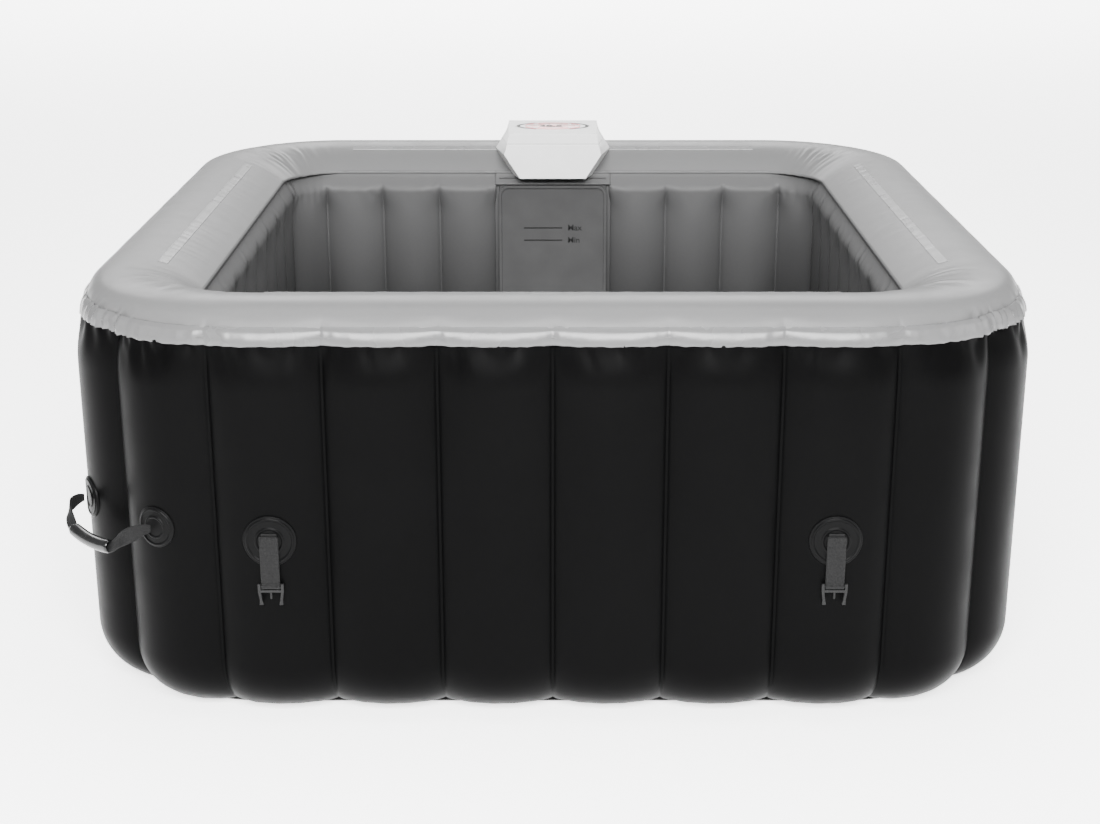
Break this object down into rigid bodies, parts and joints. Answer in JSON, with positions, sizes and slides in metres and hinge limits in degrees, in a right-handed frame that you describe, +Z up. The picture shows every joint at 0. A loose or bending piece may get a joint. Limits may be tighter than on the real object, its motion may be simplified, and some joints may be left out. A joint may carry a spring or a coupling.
{
  "type": "inflatable hot tub",
  "caption": "Square inflatable hot tub with a columned wall, a padded top rim, carry handles, cover buckles and a built-in power unit with a control head.",
  "frame": {"origin": "on the ground under the middle of the tub", "axes": "+Z up, front towards -Y, control head and power unit at the back, +Y"},
  "size_m": [1.58, 1.611, 0.7314],
  "materials": {
    "outer_vinyl": "matte embossed laminated vinyl",
    "rim_vinyl": "satin light grey vinyl",
    "inner_vinyl": "satin grey vinyl",
    "sheet_vinyl": "smooth vinyl sheet",
    "clear_tube": "soft flexible tube",
    "webbing": "woven webbing",
    "grip_plastic": "glossy moulded tube",
    "black_plastic": "fine moulded texture",
    "white_plastic": "satin moulded white",
    "grey_plastic": "satin moulded grey",
    "filter_paper": "pleated non-woven",
    "seal_rubber": "soft seal",
    "lens_print": "glossy printed lens",
    "display_glass": "display module",
    "circuit_board": "solder mask",
    "key_cap": "glossy dome key",
    "steel": "stainless steel"
  },
  "bodies": {
    "tub": {"air_hose": "clear_tube", "air_valve_body": "black_plastic", "base_sheet": "sheet_vinyl", "blower_body": "black_plastic", "bubble_ring": "clear_tube", "buckle_patches": "outer_vinyl", "cable_gland": "black_plastic", "chamber_divider": "sheet_vinyl", "discharge_hose": "clear_tube", "door_screws": "steel", "drain_valve_body": "black_plastic", "filter_cup": "grey_plastic", "floor_liner": "sheet_vinyl", "handle_patches": "outer_vinyl", "head_base": "white_plastic", "head_circuit_board": "circuit_board", "head_cover": "white_plastic", "head_display": "display_glass", "head_gasket": "seal_rubber", "head_lens": "lens_print", "heater_tube": "steel", "inner_wall": "inner_vinyl", "outer_wall": "outer_vinyl", "pump_body": "black_plastic", "return_hose": "clear_tube", "return_nozzle": "grey_plastic", "rim_skirt": "rim_vinyl", "suction_hose": "clear_tube", "top_rim": "rim_vinyl", "unit_door": "black_plastic", "unit_front_panel": "grey_plastic", "unit_housing": "grey_plastic", "unit_rear_frame": "black_plastic"},
    "handle_front": {"handle_strap_front": "webbing", "handle_grip_front": "grip_plastic"},
    "handle_rear": {"handle_strap_rear": "webbing", "handle_grip_rear": "grip_plastic"},
    "strap_front_left": {"buckle_strap_front_left": "webbing"},
    "clip_front_left": {"buckle_clip_front_left": "black_plastic"},
    "strap_front_right": {"buckle_strap_front_right": "webbing"},
    "clip_front_right": {"buckle_clip_front_right": "black_plastic"},
    "strap_rear_right": {"buckle_strap_rear_right": "webbing"},
    "clip_rear_right": {"buckle_clip_rear_right": "black_plastic"},
    "strap_rear_left": {"buckle_strap_rear_left": "webbing"},
    "clip_rear_left": {"buckle_clip_rear_left": "black_plastic"},
    "key_power": {"key_power": "key_cap"},
    "key_heater": {"key_heater": "key_cap"},
    "key_filter": {"key_filter": "key_cap"},
    "key_bubbles": {"key_bubbles": "key_cap"},
    "key_up": {"key_up": "key_cap"},
    "key_down": {"key_down": "key_cap"},
    "filter": {"filter_cap": "grey_plastic", "filter_cartridge": "filter_paper"},
    "impeller": {"pump_impeller": "white_plastic"},
    "fan": {"blower_fan": "white_plastic"},
    "valve_cap": {"air_valve_cap": "black_plastic"},
    "valve_stem": {"air_valve_stem": "white_plastic"},
    "drain_cap": {"drain_cap": "black_plastic"}
  },
  "joints": [
    {"name": "handle_front_lift", "type": "hinge", "parent": "tub", "child": "handle_front", "pos_m": [-0.69542, -0.69542, 0.33], "axis": [-0.7071, 0.7071, 0], "range_deg": [0, 70]},
    {"name": "handle_rear_lift", "type": "hinge", "parent": "tub", "child": "handle_rear", "pos_m": [0.69542, 0.69542, 0.33], "axis": [0.7071, -0.7071, 0], "range_deg": [0, 70]},
    {"name": "strap_front_left_swing", "type": "hinge", "parent": "tub", "child": "strap_front_left", "pos_m": [-0.43851, -0.799, 0.327], "axis": [-1, 0, 0], "range_deg": [-1, 150]},
    {"name": "clip_front_left_swing", "type": "hinge", "parent": "strap_front_left", "child": "clip_front_left", "pos_m": [-0.43851, -0.799, 0.247], "axis": [-1, 0, 0], "range_deg": [-5, 75]},
    {"name": "strap_front_right_swing", "type": "hinge", "parent": "tub", "child": "strap_front_right", "pos_m": [0.43851, -0.799, 0.327], "axis": [-1, 0, 0], "range_deg": [-1, 150]},
    {"name": "clip_front_right_swing", "type": "hinge", "parent": "strap_front_right", "child": "clip_front_right", "pos_m": [0.43851, -0.799, 0.247], "axis": [-1, 0, 0], "range_deg": [-5, 75]},
    {"name": "strap_rear_right_swing", "type": "hinge", "parent": "tub", "child": "strap_rear_right", "pos_m": [0.43851, 0.799, 0.327], "axis": [1, 0, 0], "range_deg": [-1, 150]},
    {"name": "clip_rear_right_swing", "type": "hinge", "parent": "strap_rear_right", "child": "clip_rear_right", "pos_m": [0.43851, 0.799, 0.247], "axis": [1, 0, 0], "range_deg": [-5, 75]},
    {"name": "strap_rear_left_swing", "type": "hinge", "parent": "tub", "child": "strap_rear_left", "pos_m": [-0.43851, 0.799, 0.327], "axis": [1, 0, 0], "range_deg": [-1, 150]},
    {"name": "clip_rear_left_swing", "type": "hinge", "parent": "strap_rear_left", "child": "clip_rear_left", "pos_m": [-0.43851, 0.799, 0.247], "axis": [1, 0, 0], "range_deg": [-5, 75]},
    {"name": "key_power_press", "type": "slide", "parent": "tub", "child": "key_power", "axis": [0, 0, -1], "range_m": [0, 0.0006], "stiffness_N_per_m": 1500, "springref_m": -0.0002},
    {"name": "key_heater_press", "type": "slide", "parent": "tub", "child": "key_heater", "axis": [0, 0, -1], "range_m": [0, 0.0006], "stiffness_N_per_m": 1500, "springref_m": -0.0002},
    {"name": "key_filter_press", "type": "slide", "parent": "tub", "child": "key_filter", "axis": [0, 0, -1], "range_m": [0, 0.0006], "stiffness_N_per_m": 1500, "springref_m": -0.0002},
    {"name": "key_bubbles_press", "type": "slide", "parent": "tub", "child": "key_bubbles", "axis": [0, 0, -1], "range_m": [0, 0.0006], "stiffness_N_per_m": 1500, "springref_m": -0.0002},
    {"name": "key_up_press", "type": "slide", "parent": "tub", "child": "key_up", "axis": [0, 0, -1], "range_m": [0, 0.0006], "stiffness_N_per_m": 1500, "springref_m": -0.0002},
    {"name": "key_down_press", "type": "slide", "parent": "tub", "child": "key_down", "axis": [0, 0, -1], "range_m": [0, 0.0006], "stiffness_N_per_m": 1500, "springref_m": -0.0002},
    {"name": "filter_pull", "type": "slide", "parent": "tub", "child": "filter", "axis": [0, -1, 0], "range_m": [0, 0.15]},
    {"name": "impeller_spin", "type": "hinge", "parent": "tub", "child": "impeller", "pos_m": [-0.04, 0.69, 0.08], "axis": [1, 0, 0], "continuous": true},
    {"name": "fan_spin", "type": "hinge", "parent": "tub", "child": "fan", "pos_m": [0, 0.66, 0.5], "axis": [1, 0, 0], "continuous": true},
    {"name": "valve_cap_open", "type": "hinge", "parent": "tub", "child": "valve_cap", "pos_m": [0.26311, 0.8064, 0.454], "axis": [1, 0, 0], "range_deg": [0, 150]},
    {"name": "valve_stem_push", "type": "slide", "parent": "tub", "child": "valve_stem", "axis": [0, -1, 0], "range_m": [0, 0.003], "stiffness_N_per_m": 400, "springref_m": -0.001},
    {"name": "drain_cap_off", "type": "slide", "parent": "tub", "child": "drain_cap", "axis": [0, 1, 0], "range_m": [0, 0.04]}
  ]
}
